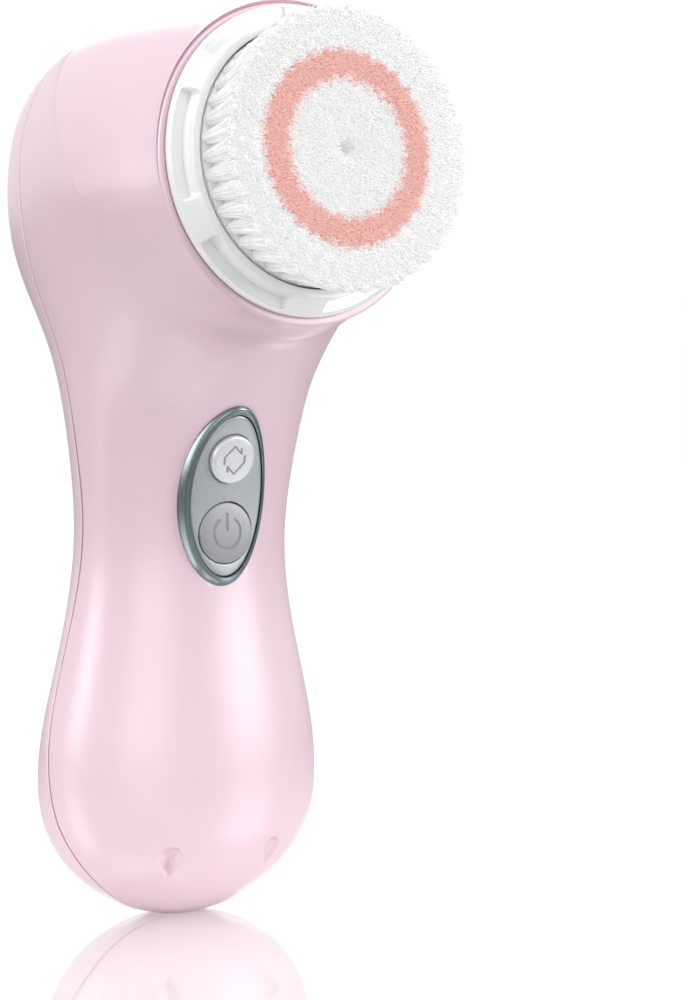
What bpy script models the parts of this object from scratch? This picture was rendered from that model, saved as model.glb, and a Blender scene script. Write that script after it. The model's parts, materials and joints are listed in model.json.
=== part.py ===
"""Facial cleansing brush: a waisted two-part handle, a round oscillating brush head and what drives it.

Metres, +Z up. The origin is the centre of the small flat under the handle, the brush faces -Y and a
little up, and X = 0 is the plane of symmetry.
"""
import math

import bmesh
import bpy
import numpy as np
from mathutils import Vector

MM = 0.001
GAP = 0.3  # air between pieces that touch, mm

# ---- driving dimensions, mm ----------------------------------------------------------------------
WALL = 1.6  # casing wall
HANDLE_HALF_WIDTH = 22.9  # at the widest place of the foot
FOOT_HEIGHT = 20.0  # height of that place
FLATNESS = 0.67  # depth of the handle over its width
FLAT_RADIUS = 4.3  # flat that the handle rests on
HEAD_TILT = 8.3  # how far the brush looks up, degrees
HEAD_CENTRE = (-33.45, 113.4)  # y, z of the middle of the brush, where its axis starts
RIM_CENTRE, RIM_RADIUS = (-32.62, 112.87), 23.4  # y, z and size of the casing's open end, under the ring
MOUTH_RADIUS = 22.3  # seat of the cup in the open end
RING_RADIUS = 22.6  # clear ring
TIP_HEIGHT = 12.1  # bristle tips over the middle of the brush

# Stations of the body above the foot: the back and the front point (y, z), the half width and the
# squareness of the section through them.
STATIONS = (
    (15.0, 20.0, -15.6, 20.0, HANDLE_HALF_WIDTH, 2.0),
    (12.8, 38.0, -14.2, 38.0, 20.2, 2.0),
    (10.4, 57.0, -12.8, 57.0, 17.4, 2.0),
    (10.4, 72.0, -15.0, 72.0, 18.9, 2.0),
    (15.4, 89.5, -19.9, 80.3, 21.3, 2.05),
    (22.8, 106.3, -26.5, 86.3, 25.1, 2.2),
    (18.2, 126.4, -31.6, 87.5, 27.0, 2.3),
    (-3.2, 135.1, -34.7, 88.8, 27.0, 2.3),
)
# z, y of the line where the front and the rear casing meet
SEAM = ((-12.0, -2.0), (0.0, -2.2), (8.0, -2.9), (13.0, -2.2), (22.0, -0.5), (34.0, 0.65),
        (60.0, -1.6), (82.0, -1.7), (100.0, 0.2), (114.0, 2.9), (150.0, 2.9))

PANEL_Z = 64.0  # control panel: middle, half width and half height
PANEL_HALF = (7.8, 13.7)
PLATE_HALF = (6.1, 11.9)
PLATE_PROUD = 0.9
POWER_Z, POWER_RADIUS = 58.5, 4.6
MODE_Z, MODE_RADIUS, MODE_TILT = 69.6, 3.7, 12.4
DIMPLE = (9.4, 11.1)  # x, z of the charging dimples

SEAL_RADIUS = 0.6
SEAL_INSET = WALL + GAP + SEAL_RADIUS + 0.15  # middle of the gasket under the body's surface
CUP_FLOOR = (-11.0, -9.5)  # along the brush axis, from the head's open end
LUG_ANGLES = (90.0, 210.0, 330.0)
LUG_HALF = 6.0
LOCK_TURN = 22.0
POCKET_COUNT, POCKET_HALF, POCKET_START = 6, 21.5, 54.0

# ---- scene ---------------------------------------------------------------------------------------
for old in list(bpy.data.objects):
    bpy.data.objects.remove(old, do_unlink=True)

parts = bpy.data.collections.new("facial_cleansing_brush")
cutters = bpy.data.collections.new("cutters")
bpy.context.scene.collection.children.link(parts)
bpy.context.scene.collection.children.link(cutters)

COLOURS = {
    "pearl_pink": ((0.86, 0.62, 0.70), 0.28, 0.0),
    "silver": ((0.62, 0.64, 0.66), 0.35, 0.6),
    "grey_trim": ((0.20, 0.23, 0.24), 0.40, 0.2),
    "clear": ((0.86, 0.88, 0.90), 0.12, 0.0),
    "white_plastic": ((0.85, 0.85, 0.86), 0.40, 0.0),
    "white_filament": ((0.92, 0.92, 0.93), 0.55, 0.0),
    "pink_filament": ((0.90, 0.45, 0.40), 0.55, 0.0),
    "steel": ((0.55, 0.55, 0.56), 0.25, 1.0),
    "aluminium": ((0.72, 0.73, 0.74), 0.35, 1.0),
    "laminations": ((0.22, 0.23, 0.25), 0.45, 0.9),
    "copper": ((0.72, 0.33, 0.16), 0.35, 1.0),
    "magnet": ((0.45, 0.46, 0.48), 0.22, 1.0),
    "ferrite": ((0.07, 0.07, 0.08), 0.70, 0.0),
    "circuit_board": ((0.05, 0.22, 0.12), 0.50, 0.0),
    "black_plastic": ((0.03, 0.03, 0.035), 0.45, 0.0),
    "grey_rubber": ((0.30, 0.31, 0.32), 0.80, 0.0),
    "battery_wrap": ((0.10, 0.35, 0.20), 0.40, 0.0),
    "red_wire": ((0.55, 0.05, 0.04), 0.50, 0.0),
    "black_wire": ((0.03, 0.03, 0.03), 0.50, 0.0),
}


def material(name):
    """The named finish, made the first time that it is asked for."""
    found = bpy.data.materials.get(name)
    if found:
        return found
    colour, roughness, metallic = COLOURS[name]
    made = bpy.data.materials.new(name)
    made.use_nodes = True
    shader = made.node_tree.nodes["Principled BSDF"]
    shader.inputs["Base Color"].default_value = (*colour, 1.0)
    shader.inputs["Roughness"].default_value = roughness
    shader.inputs["Metallic"].default_value = metallic
    made.diffuse_color = (*colour, 1.0)
    return made


def empty(name, location, rotation=(0.0, 0.0, 0.0)):
    """A frame that pieces hang on; millimetres and degrees."""
    made = bpy.data.objects.new(name, None)
    made.empty_display_size = 0.01
    made.location = Vector(location) * MM
    made.rotation_euler = [math.radians(angle) for angle in rotation]
    parts.objects.link(made)
    return made


def add(name, mesh, finish=None, parent=None):
    """Put a mesh in the scene: a piece with its finish, or a cutter when it has none."""
    made = bpy.data.objects.new(name, mesh)
    made.parent = parent
    if finish:
        mesh.materials.append(material(finish))
        parts.objects.link(made)
    else:
        made.hide_render = True
        made.display_type = "WIRE"
        cutters.objects.link(made)
    return made


def mesh_from(bm, name, smooth=True):
    """Close a bmesh into a mesh in metres, facing out."""
    bmesh.ops.recalc_face_normals(bm, faces=bm.faces)
    bmesh.ops.scale(bm, vec=(MM, MM, MM), verts=bm.verts)
    mesh = bpy.data.meshes.new(name)
    bm.to_mesh(mesh)
    bm.free()
    if smooth:
        mesh.shade_smooth()
        mesh.set_sharp_from_angle(angle=math.radians(35))
    return mesh


def box(name, low, high, finish=None, parent=None, bevel=0.0):
    """A block between two corners."""
    bm = bmesh.new()
    bmesh.ops.create_cube(bm, size=1.0)
    size = [b - a for a, b in zip(low, high)]
    middle = [(a + b) / 2 for a, b in zip(low, high)]
    bmesh.ops.scale(bm, vec=size, verts=bm.verts)
    bmesh.ops.translate(bm, vec=middle, verts=bm.verts)
    made = add(name, mesh_from(bm, name, smooth=False), finish, parent)
    if bevel:
        rounding = made.modifiers.new("rounding", "BEVEL")
        rounding.width = bevel * MM
        rounding.segments = 1
    return made


def rod(name, radius, start, end, finish=None, parent=None, segments=24, centre=(0.0, 0.0)):
    """A round bar along local Z from start to end."""
    bm = bmesh.new()
    bmesh.ops.create_cone(bm, cap_ends=True, segments=segments, radius1=radius, radius2=radius,
                          depth=end - start)
    bmesh.ops.translate(bm, vec=(centre[0], centre[1], (start + end) / 2), verts=bm.verts)
    return add(name, mesh_from(bm, name), finish, parent)


def turned(name, profile, finish=None, parent=None, steps=48, closed=True):
    """Turn an outline of (radius, height) about local Z: down its outer side and up its inner one."""
    mesh = bpy.data.meshes.new(name)
    points = [(radius * MM, 0.0, height * MM) for radius, height in profile]
    edges = [(i, i + 1) for i in range(len(points) - 1)]
    if closed:
        edges.append((len(points) - 1, 0))
    mesh.from_pydata(points, edges, [])
    made = add(name, mesh, finish, parent)
    turn = made.modifiers.new("turn", "SCREW")
    turn.steps = steps
    turn.render_steps = steps
    turn.use_merge_vertices = True
    turn.merge_threshold = 0.00001
    turn.use_smooth_shade = True
    return made


def skin(bm, rings, closed_way=False):
    """Join rings of points with quads; the ends are capped unless the rings close on themselves."""
    rows = [[bm.verts.new(point) for point in ring] for ring in rings]
    count = len(rows[0])
    pairs = list(zip(rows, rows[1:]))
    if closed_way:
        pairs.append((rows[-1], rows[0]))
    for low, high in pairs:
        for i in range(count):
            j = (i + 1) % count
            bm.faces.new((low[i], low[j], high[j], high[i]))
    if not closed_way:
        bm.faces.new(list(reversed(rows[0])))
        bm.faces.new(rows[-1])
    return rows


def sector(name, radii, heights, middle, half, parent, steps=8):
    """A cutter: a block bent round local Z, half degrees to each side of its middle."""
    rings = []
    for step in range(steps + 1):
        angle = math.radians(middle - half + 2 * half * step / steps)
        side = (math.cos(angle), math.sin(angle))
        corners = [(radii[0], heights[0]), (radii[1], heights[0]),
                   (radii[1], heights[1]), (radii[0], heights[1])]
        rings.append([(r * side[0], r * side[1], h) for r, h in corners])
    bm = bmesh.new()
    skin(bm, rings)
    return add(name, mesh_from(bm, name, smooth=False), parent=parent)


def combine(target, other, operation="DIFFERENCE"):
    """Cut or join with an exact Boolean."""
    step = target.modifiers.new(operation.lower(), "BOOLEAN")
    step.operation = operation
    step.solver = "EXACT"
    step.object = other


def wire(name, points, radius, finish, cyclic=False):
    """A round wire through points, in millimetres."""
    curve = bpy.data.curves.new(name, "CURVE")
    curve.dimensions = "3D"
    curve.bevel_depth = radius * MM
    curve.bevel_resolution = 2
    curve.use_fill_caps = not cyclic
    spline = curve.splines.new("POLY")
    spline.points.add(len(points) - 1)
    spline.use_cyclic_u = cyclic
    for knot, point in zip(spline.points, points):
        knot.co = (*(Vector(point) * MM), 1.0)
    curve.materials.append(material(finish))
    made = bpy.data.objects.new(name, curve)
    parts.objects.link(made)
    return made


# ---- body surface --------------------------------------------------------------------------------
tilt = math.radians(HEAD_TILT)
RISING = Vector((0.0, math.sin(tilt), math.cos(tilt)))


def natural_spline(knots, values, wanted):
    """Natural cubic spline through columns of values, read at the wanted places."""
    gaps = np.diff(knots)
    count = len(knots)
    system = np.eye(count)
    right = np.zeros((count, values.shape[1]))
    slopes = np.diff(values, axis=0) / gaps[:, None]
    for i in range(1, count - 1):
        system[i, i - 1:i + 2] = (gaps[i - 1], 2 * (gaps[i - 1] + gaps[i]), gaps[i])
        right[i] = 6 * (slopes[i] - slopes[i - 1])
    bend = np.linalg.solve(system, right)
    cell = np.clip(np.searchsorted(knots, wanted, side="right") - 1, 0, count - 2)
    gap = gaps[cell][:, None]
    after = (wanted - knots[cell])[:, None]
    before = gap - after
    return ((bend[cell] * before ** 3 + bend[cell + 1] * after ** 3) / (6 * gap)
            + (values[cell] / gap - bend[cell] * gap / 6) * before
            + (values[cell + 1] / gap - bend[cell + 1] * gap / 6) * after)


def body_stations():
    """The foot's quarter-ellipse stations, then the listed ones, then the head's open end."""
    rows = []
    foot_middle = (STATIONS[0][0] + STATIONS[0][2]) / 2
    start = math.degrees(math.asin(FLAT_RADIUS / HANDLE_HALF_WIDTH))
    for angle in np.linspace(start, 90.0, 7)[:-1]:
        share = math.sin(math.radians(angle))
        fall = math.cos(math.radians(angle)) / math.cos(math.radians(start))
        middle = foot_middle * share
        depth = FLATNESS * HANDLE_HALF_WIDTH * share
        height = FOOT_HEIGHT * (1 - fall)
        rows.append((middle + depth, height, middle - depth, height, HANDLE_HALF_WIDTH * share, 2.0))
    rows.extend(STATIONS)
    top = [RIM_CENTRE[0] + RIM_RADIUS * RISING.y, RIM_CENTRE[1] + RIM_RADIUS * RISING.z]
    bottom = [RIM_CENTRE[0] - RIM_RADIUS * RISING.y, RIM_CENTRE[1] - RIM_RADIUS * RISING.z]
    rows.append((*top, *bottom, RIM_RADIUS, 2.0))
    return np.array(rows)


def sections_at(places):
    """Interpolated stations at places from 0, the flat, to 1, the head's open end."""
    rows = body_stations()
    middles = (rows[:, 0:2] + rows[:, 2:4]) / 2
    ends = rows[:, 0:2]
    steps = np.linalg.norm(np.diff(middles, axis=0), axis=1)
    steps += 0.5 * np.linalg.norm(np.diff(ends, axis=0), axis=1) + 0.5 * np.abs(np.diff(rows[:, 4]))
    knots = np.concatenate(([0.0], np.cumsum(steps)))
    return natural_spline(knots, rows, places * knots[-1])


def section_point(section, angle):
    """A point of a section: angle 0 is the back, a quarter turn is +X, a half turn is the front.

    The back is as much squarer than an ellipse as the front is less square.
    """
    back_y, back_z, front_y, front_z, half, square = section
    power = 2.0 / (2.0 + (square - 2.0) * math.cos(angle))
    across = math.copysign(abs(math.sin(angle)) ** power, math.sin(angle))
    along = math.copysign(abs(math.cos(angle)) ** power, math.cos(angle))
    return (half * across,
            (back_y + front_y) / 2 + (back_y - front_y) / 2 * along,
            (back_z + front_z) / 2 + (back_z - front_z) / 2 * along)


def seam_y(z):
    """Depth of the parting line at a height."""
    heights, depths = zip(*SEAM)
    wanted = np.clip([z], heights[0], heights[-1])
    return float(natural_spline(np.array(heights), np.array(depths)[:, None], wanted)[0, 0])


front_rows = sections_at(np.linspace(0.0, 1.0, 400))
FRONT_PROFILE = front_rows[front_rows[:, 3] < 86.0][:, [3, 2]]


def front_y(z):
    """The middle line of the handle's front."""
    return float(np.interp(z, FRONT_PROFILE[:, 0], FRONT_PROFILE[:, 1]))


def body_shell(name, rows=28, columns=36):
    """The whole body as a wall open at the head, for one casing to be cut from."""
    bm = bmesh.new()
    rings = []
    for section in sections_at(np.linspace(0.0, 1.0, rows)):
        rings.append([section_point(section, 2 * math.pi * i / columns) for i in range(columns)])
    made = skin(bm, rings)
    bm.faces.ensure_lookup_table()
    lid = [face for face in bm.faces if len(face.verts) == columns and made[-1][0] in face.verts]
    bmesh.ops.delete(bm, geom=lid, context="FACES_ONLY")
    piece = add(name, mesh_from(bm, name), "pearl_pink")
    wall = piece.modifiers.new("wall", "SOLIDIFY")
    wall.thickness = WALL * MM
    wall.offset = -1.0
    wall.use_even_offset = True
    return piece


def seam_block(name, side):
    """A cutter that fills everything on one side of the parting line: +1 the back, -1 the front."""
    heights = np.linspace(-12.0, 150.0, 20)
    line = [(seam_y(z) - side * GAP / 2, z) for z in heights]
    outline = line + [(side * 70.0, 150.0), (side * 70.0, -12.0)]
    bm = bmesh.new()
    skin(bm, [[(x, y, z) for y, z in outline] for x in (-45.0, 45.0)])
    return add(name, mesh_from(bm, name, smooth=False))


def panel_ring(half, depth, count=32, share=1.0, crown=0.010):
    """One oval of the control panel, bent to the handle's front line and lifted by depth."""
    ring = []
    for i in range(count):
        angle = 2 * math.pi * i / count
        x = share * half[0] * math.cos(angle)
        z = PANEL_Z + share * half[1] * math.sin(angle)
        ring.append((x, front_y(z) + crown * x * x + depth, z))
    return ring


# ---- casings -------------------------------------------------------------------------------------
front_casing = body_shell("front_casing")
rear_casing = body_shell("rear_casing")
combine(front_casing, seam_block("rear_of_seam", 1))
combine(rear_casing, seam_block("front_of_seam", -1))

brush_axis = empty("brush_axis", (0.0, *HEAD_CENTRE), (90.0 - HEAD_TILT, 0.0, 0.0))
combine(front_casing, rod("mouth", MOUTH_RADIUS, -8.0, 3.0, parent=brush_axis, segments=80))

opening = bmesh.new()
hole_half = [side + GAP / 2 for side in PANEL_HALF]
skin(opening, [[(x, y, z) for x, _, z in panel_ring(hole_half, 0.0)] for y in (-30.0, -5.0)])
combine(front_casing, add("panel_opening", mesh_from(opening, "panel_opening")))

for side in (-1, 1):
    dimple = bmesh.new()
    bmesh.ops.create_uvsphere(dimple, u_segments=16, v_segments=10, radius=1.0)
    bmesh.ops.scale(dimple, vec=(1.9, 1.25, 3.0), verts=dimple.verts)
    for vertex in dimple.verts:
        if vertex.co.z < 0:
            vertex.co.x *= 1 + 0.28 * vertex.co.z
    cutter = add(f"dimple_cutter_{'left' if side < 0 else 'right'}", mesh_from(dimple, "dimple"))
    cutter.location = Vector((side * DIMPLE[0], -13.1, DIMPLE[1])) * MM
    cutter.rotation_euler = (math.radians(24.0), 0.0, math.radians(side * 22.0))
    combine(front_casing, cutter)


def inside_point(place, angle, inset):
    """The point under the body's surface at a place along it and an angle round it."""
    step = 0.002
    sections = sections_at(np.array([place - step, place, place + step]))
    here = Vector(section_point(sections[1], angle))
    along = Vector(section_point(sections[2], angle)) - Vector(section_point(sections[0], angle))
    before, after = (Vector(section_point(sections[1], angle + turn)) for turn in (-0.01, 0.01))
    return here - along.cross(after - before).normalized() * inset


def seal_path():
    """The parting line run round the inside of the wall: up one side, as far as it goes over the head."""
    path = []
    for place in np.linspace(0.035, 0.9, 28):
        if inside_point(place, 0.0, SEAL_INSET).y < seam_y(inside_point(place, 0.0, SEAL_INSET).z) + 1.0:
            break
        low, high = 0.0, math.pi
        for _ in range(24):
            middle = (low + high) / 2
            point = inside_point(place, middle, SEAL_INSET)
            if point.y > seam_y(point.z):
                low = middle
            else:
                high = middle
        path.append(inside_point(place, low, SEAL_INSET))
    return path


seal_side = seal_path()
wire("casing_seal", seal_side + [(-x, y, z) for x, y, z in reversed(seal_side)], SEAL_RADIUS,
     "grey_rubber", cyclic=True)

# ---- control panel -------------------------------------------------------------------------------
bezel = bmesh.new()
inner_half = [side + GAP for side in PLATE_HALF]
outer_half = [side - GAP / 2 for side in PANEL_HALF]
skin(bezel, [panel_ring(outer_half, 1.8, crown=0.019), panel_ring(outer_half, -0.15, crown=0.019),
             panel_ring(inner_half, -PLATE_PROUD + 0.1), panel_ring(inner_half, 1.8)], closed_way=True)
add("panel_bezel", mesh_from(bezel, "panel_bezel"), "grey_trim")

plate = bmesh.new()
levels = [(0.1, 0.9), (0.5, 0.9), (0.8, 0.9), (1.0, 0.9), (1.0, 0.5 - PLATE_PROUD), (0.96, -PLATE_PROUD),
          (0.8, -PLATE_PROUD), (0.5, -PLATE_PROUD), (0.1, -PLATE_PROUD)]  # share of the outline, depth
skin(plate, [panel_ring(PLATE_HALF, depth, share=share) for share, depth in levels])
panel_plate = add("panel_plate", mesh_from(plate, "panel_plate"), "silver")

power_y = front_y(POWER_Z) - PLATE_PROUD
mode_y = front_y(MODE_Z) - PLATE_PROUD
power_axis = empty("power_axis", (0.0, power_y, POWER_Z), (90.0, 0.0, 0.0))
mode_axis = empty("mode_axis", (0.0, mode_y, MODE_Z), (90.0 + MODE_TILT, 0.0, 0.0))
combine(panel_plate, rod("power_hole", POWER_RADIUS + GAP, -5.0, 5.0, parent=power_axis, segments=28))
combine(panel_plate, rod("mode_hole", MODE_RADIUS + GAP, -5.0, 5.0, parent=mode_axis, segments=24))

turned("power_button", [(0.0, 0.55), (2.4, 0.45), (4.2, 0.15), (POWER_RADIUS, -0.2), (POWER_RADIUS, -2.4),
                        (POWER_RADIUS + 0.7, -2.4), (POWER_RADIUS + 0.7, -3.1), (1.6, -3.1),
                        (1.6, -3.4), (0.0, -3.4)],
       "silver", power_axis, steps=28, closed=False)
turned("mode_button", [(0.0, 1.0), (3.0, 1.0), (3.5, 0.85), (MODE_RADIUS, 0.5), (MODE_RADIUS, -2.6),
                       (MODE_RADIUS + 0.6, -2.6), (MODE_RADIUS + 0.6, -3.3), (1.6, -3.3),
                       (1.6, -4.7), (0.0, -4.7)],
       "silver", mode_axis, steps=24, closed=False)

box("button_membrane", (-5.5, -9.6, 53.0), (5.5, -9.0, 75.5), "grey_rubber", bevel=0.2)
box("power_switch", (-2.2, -8.7, POWER_Z - 2.2), (2.2, -7.7, POWER_Z + 2.2), "black_plastic", bevel=0.2)
box("mode_switch", (-2.2, -8.7, MODE_Z - 0.9), (2.2, -7.7, MODE_Z + 3.5), "black_plastic", bevel=0.2)
box("main_pcb", (-8.5, -7.4, 50.5), (8.5, -6.2, 80.0), "circuit_board", bevel=0.2)
box("control_chip", (-3.5, -5.9, 64.0), (3.5, -4.9, 71.0), "black_plastic", bevel=0.15)

# ---- power and charging --------------------------------------------------------------------------
CELL_X, CELL_Y, CELL_RADIUS = 5.5, 1.8, 5.2
for side, word in ((-1, "left"), (1, "right")):
    cell = (side * CELL_X, CELL_Y)
    rod(f"battery_cell_{word}", CELL_RADIUS, 9.8, 54.3, "battery_wrap", segments=28, centre=cell)
    rod(f"battery_tab_{word}", 2.2, 54.6, 55.2, "steel", segments=16, centre=cell)
    magnet_axis = empty(f"alignment_axis_{word}", (side * 9.6, -8.4, 12.6), (90.0, 0.0, 0.0))
    rod(f"alignment_magnet_{word}", 1.7, -0.7, 0.7, "magnet", magnet_axis, segments=20)
box("battery_strap", (-7.5, -0.2, 9.0), (7.5, 3.8, 9.5), "steel", bevel=0.1)

cradle = box("battery_cradle", (-10.2, -4.7, 12.0), (10.2, -3.9, 52.5), "black_plastic")
shelf = box("cradle_shelf", (-8.6, -4.5, 7.6), (8.6, 5.6, 8.6))
web = box("cradle_web", (-8.6, -4.65, 7.7), (8.6, -3.95, 14.0))
combine(cradle, shelf, "UNION")
combine(cradle, web, "UNION")

charge_axis = empty("charge_axis", (0.0, -9.2, 17.0), (90.0, 0.0, 0.0))
turned("charge_coil", [(7.0, 1.6), (7.0, 0.0), (3.0, 0.0), (3.0, 1.6)], "copper", charge_axis, steps=32)
rod("charge_ferrite", 7.4, -1.3, -0.3, "ferrite", charge_axis, segments=32)

# ---- head, along the brush axis ------------------------------------------------------------------
floor_back, floor_front = CUP_FLOOR
CUP_OUTER, CUP_INNER = MOUTH_RADIUS - GAP, 20.9
head_cup = turned("head_cup", [(CUP_OUTER - 0.3, -0.9), (CUP_OUTER, -1.2), (CUP_OUTER, floor_back),
                               (9.3, floor_back), (9.3, floor_front), (CUP_INNER, floor_front),
                               (CUP_INNER, -0.9)], "white_plastic", brush_axis, steps=40)
for number, angle in enumerate(LUG_ANGLES, 1):
    combine(head_cup, sector(f"entry_slot_{number}", (19.5, 21.6), (-5.9, 1.0), angle, LUG_HALF + 1.0,
                             brush_axis))
    combine(head_cup, sector(f"turn_slot_{number}", (19.4, 21.5), (-5.8, -3.9), angle + LOCK_TURN / 2 - 0.5,
                             LUG_HALF + LOCK_TURN / 2 + 1.0, brush_axis))

turned("drive_seal", [(9.0, -9.7), (9.0, -10.9), (7.4, -10.9), (7.0, -10.2), (6.4, -10.2), (6.0, -10.9),
                      (4.6, -10.9), (4.6, -9.9), (5.7, -9.9), (6.3, -9.3), (7.1, -9.3), (7.7, -9.7)],
       "grey_rubber", brush_axis, steps=24)

hub_outline = [(0.0, -7.0), (2.6, -7.0), (8.0, -7.4), (8.2, -7.6), (8.2, -8.5), (4.2, -8.5), (4.2, -12.0),
               (0.0, -12.0)]
drive_hub = turned("drive_hub", hub_outline, "white_plastic", brush_axis, steps=32, closed=False)
hub_plug = rod("hub_plug", 3.3, -7.9, -0.5, parent=brush_axis, segments=6)
hub_bore = rod("hub_bore", 2.3, -13.0, -1.3, parent=brush_axis, segments=24)
combine(drive_hub, hub_plug, "UNION")
combine(drive_hub, hub_bore)

SHAFT_BACK = -45.5
drive_shaft = rod("drive_shaft", 2.0, SHAFT_BACK, -1.6, "steel", brush_axis)
combine(drive_shaft, rod("shaft_bore", 1.1, SHAFT_BACK - 2.0, -24.0, parent=brush_axis, segments=16))
turned("front_bearing", [(5.0, -12.3), (5.0, -15.0), (2.3, -15.0), (2.3, -12.3)], "steel", brush_axis,
       steps=24)
turned("rear_bearing", [(4.0, -43.7), (4.0, -46.0), (2.3, -46.0), (2.3, -43.7)], "steel", brush_axis,
       steps=24)

torsion_bar = rod("torsion_bar", 0.8, -47.5, -26.0, "steel", brush_axis, segments=12)
torsion_anchor = box("torsion_anchor", (-4.5, -1.6, -48.6), (4.5, 1.6, -46.4), parent=brush_axis)
combine(torsion_bar, torsion_anchor, "UNION")

armature = box("armature", (-8.2, -5.0, -36.0), (8.2, 4.6, -24.0), "laminations", brush_axis)
combine(armature, rod("armature_bore", 2.3, -40.0, -20.0, parent=brush_axis))
for side, word in ((-1, "left"), (1, "right")):
    near, far = sorted((side * 0.5, side * 8.0))
    box(f"magnet_{word}", (near, -6.8, -35.6), (far, -5.3, -24.4), "magnet", brush_axis, bevel=0.2)

motor_frame = box("motor_frame", (-14.0, -16.0, -46.0), (14.0, -14.2, -12.6), "aluminium", brush_axis)
for name, back, front in (("frame_front", -14.6, -12.6), ("frame_rear", -46.0, -44.0)):
    cheek = box(name, (-14.0, -15.0, back), (14.0, 14.0, front), parent=brush_axis)
    combine(motor_frame, cheek, "UNION")
combine(motor_frame, rod("front_seat", 5.3, -16.0, -11.0, parent=brush_axis, segments=32))
combine(motor_frame, rod("rear_seat", 4.3, -48.0, -42.0, parent=brush_axis, segments=32))
SCREWS = ((-11.0, 11.0), (11.0, 11.0), (-11.0, -11.0), (11.0, -11.0))
SCREW_OUTLINE = ((0.0, -11.3), (1.1, -11.3), (1.1, -14.9), (2.1, -14.9), (2.1, -15.8), (1.7, -16.2),
                 (0.0, -16.2))
for number, (x, y) in enumerate(SCREWS, 1):
    combine(motor_frame, rod(f"screw_hole_{number}", 1.4, -16.0, -11.0, parent=brush_axis, centre=(x, y)))
    screw_place = empty(f"screw_place_{number}", (x, y, 0.0))
    screw_place.parent = brush_axis
    turned(f"motor_screw_{number}", SCREW_OUTLINE, "steel", screw_place, steps=12, closed=False)

stator_core = box("stator_core", (-12.0, -13.9, -36.0), (12.0, -11.4, -24.0), "laminations", brush_axis)
POLES = (("pole_left", -12.0, -8.6), ("pole_middle", -2.0, 2.0), ("pole_right", 8.6, 12.0))
for name, left, right in POLES:
    pole = box(name, (left, -12.0, -36.0), (right, -8.8, -24.0), parent=brush_axis)
    combine(stator_core, pole, "UNION")
stator_coil = box("stator_coil", (-7.6, -11.1, -40.5), (7.6, -9.0, -19.5), "copper", brush_axis)
combine(stator_coil, box("coil_window", (-2.3, -13.0, -36.3), (2.3, -7.0, -23.7), parent=brush_axis))

# ---- brush head ----------------------------------------------------------------------------------
ring_outline = [(RING_RADIUS - 0.1, 0.35), (RING_RADIUS, 0.0), (RING_RADIUS, -0.45),
                (RING_RADIUS - 0.2, -0.6), (20.5, -0.6), (20.5, -6.0), (18.9, -6.0), (18.9, 2.8),
                (19.2, 3.1), (20.0, 3.1), (20.5, 2.8), (RING_RADIUS - 0.3, 0.6)]
ring = turned("retainer_ring", ring_outline, "clear", brush_axis, steps=48)
for number in range(POCKET_COUNT):
    middle = POCKET_START + number * 360.0 / POCKET_COUNT
    combine(ring, sector(f"pocket_{number + 1}", (20.4, 22.1), (0.4, 4.0), middle, POCKET_HALF, brush_axis))
for number, angle in enumerate(LUG_ANGLES, 1):
    lug = sector(f"lug_{number}", (20.0, 21.3), (-5.5, -4.2), angle, LUG_HALF, brush_axis, steps=4)
    combine(ring, lug, "UNION")

turned("outer_tuft_carrier", [(18.2, 3.1), (18.6, 2.8), (18.6, -6.3), (20.5, -6.3), (20.5, -7.6),
                              (17.2, -7.6), (17.2, 1.4), (14.3, 1.4), (14.3, 3.1)],
       "clear", brush_axis, steps=40)
turned("outer_bristles", [(20.0, TIP_HEIGHT), (18.2, 3.4), (14.8, 3.4), (14.3, TIP_HEIGHT)],
       "white_filament", brush_axis, steps=24)

disc_outline = [(0.0, 2.9), (13.4, 2.9), (13.7, 2.6), (13.7, 1.2), (5.5, 1.2), (5.5, -6.3), (0.0, -6.3)]
inner_disc = turned("inner_tuft_disc", disc_outline, "white_plastic", brush_axis, steps=36, closed=False)
combine(inner_disc, rod("socket", 3.7, -9.0, -0.1, parent=brush_axis, segments=6))
turned("pink_bristles", [(13.8, TIP_HEIGHT), (13.3, 3.2), (10.0, 3.2), (9.95, TIP_HEIGHT)],
       "pink_filament", brush_axis, steps=36)
turned("white_bristles", [(9.65, TIP_HEIGHT), (9.6, 3.2), (2.6, 3.2), (2.3, TIP_HEIGHT)],
       "white_filament", brush_axis, steps=36)

# ---- wires ---------------------------------------------------------------------------------------
WIRES = (
    ("motor_lead", ((3.0, -3.8, 78.5), (4.0, -2.5, 82.0), (5.0, 0.5, 86.0), (5.6, 3.0, 88.0),
                    (5.8, 4.2, 89.6)), ("red_wire", "black_wire")),
    ("battery_lead", ((5.5, -0.5, 55.9), (5.6, -1.5, 57.4), (5.2, -3.4, 58.0), (4.6, -5.2, 57.6)),
     ("red_wire", "black_wire")),
    ("charge_lead", ((6.0, -6.3, 23.0), (8.5, -6.3, 28.0), (9.0, -6.6, 36.0), (8.0, -7.4, 43.0),
                     (6.5, -7.0, 49.7)), ("copper", "copper")),
)


def smooth_route(points, count):
    """A curve through a few points, read evenly."""
    table = np.array(points)
    knots = np.concatenate(([0.0], np.cumsum(np.linalg.norm(np.diff(table, axis=0), axis=1))))
    return natural_spline(knots, table, np.linspace(0.0, knots[-1], count)).tolist()


for stem, route, finishes in WIRES:
    for side, finish in zip((-1, 1), finishes):
        mirrored = [(side * x, y, z) for x, y, z in route]
        wire(f"{stem}_{1 if side < 0 else 2}", smooth_route(mirrored, 8), 0.5, finish)
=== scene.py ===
"""The looks of a facial cleansing brush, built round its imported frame."""
import json
import math

import bmesh
import bpy
import numpy as np
from mathutils import Matrix, Vector
from mathutils.bvhtree import BVHTree


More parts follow.
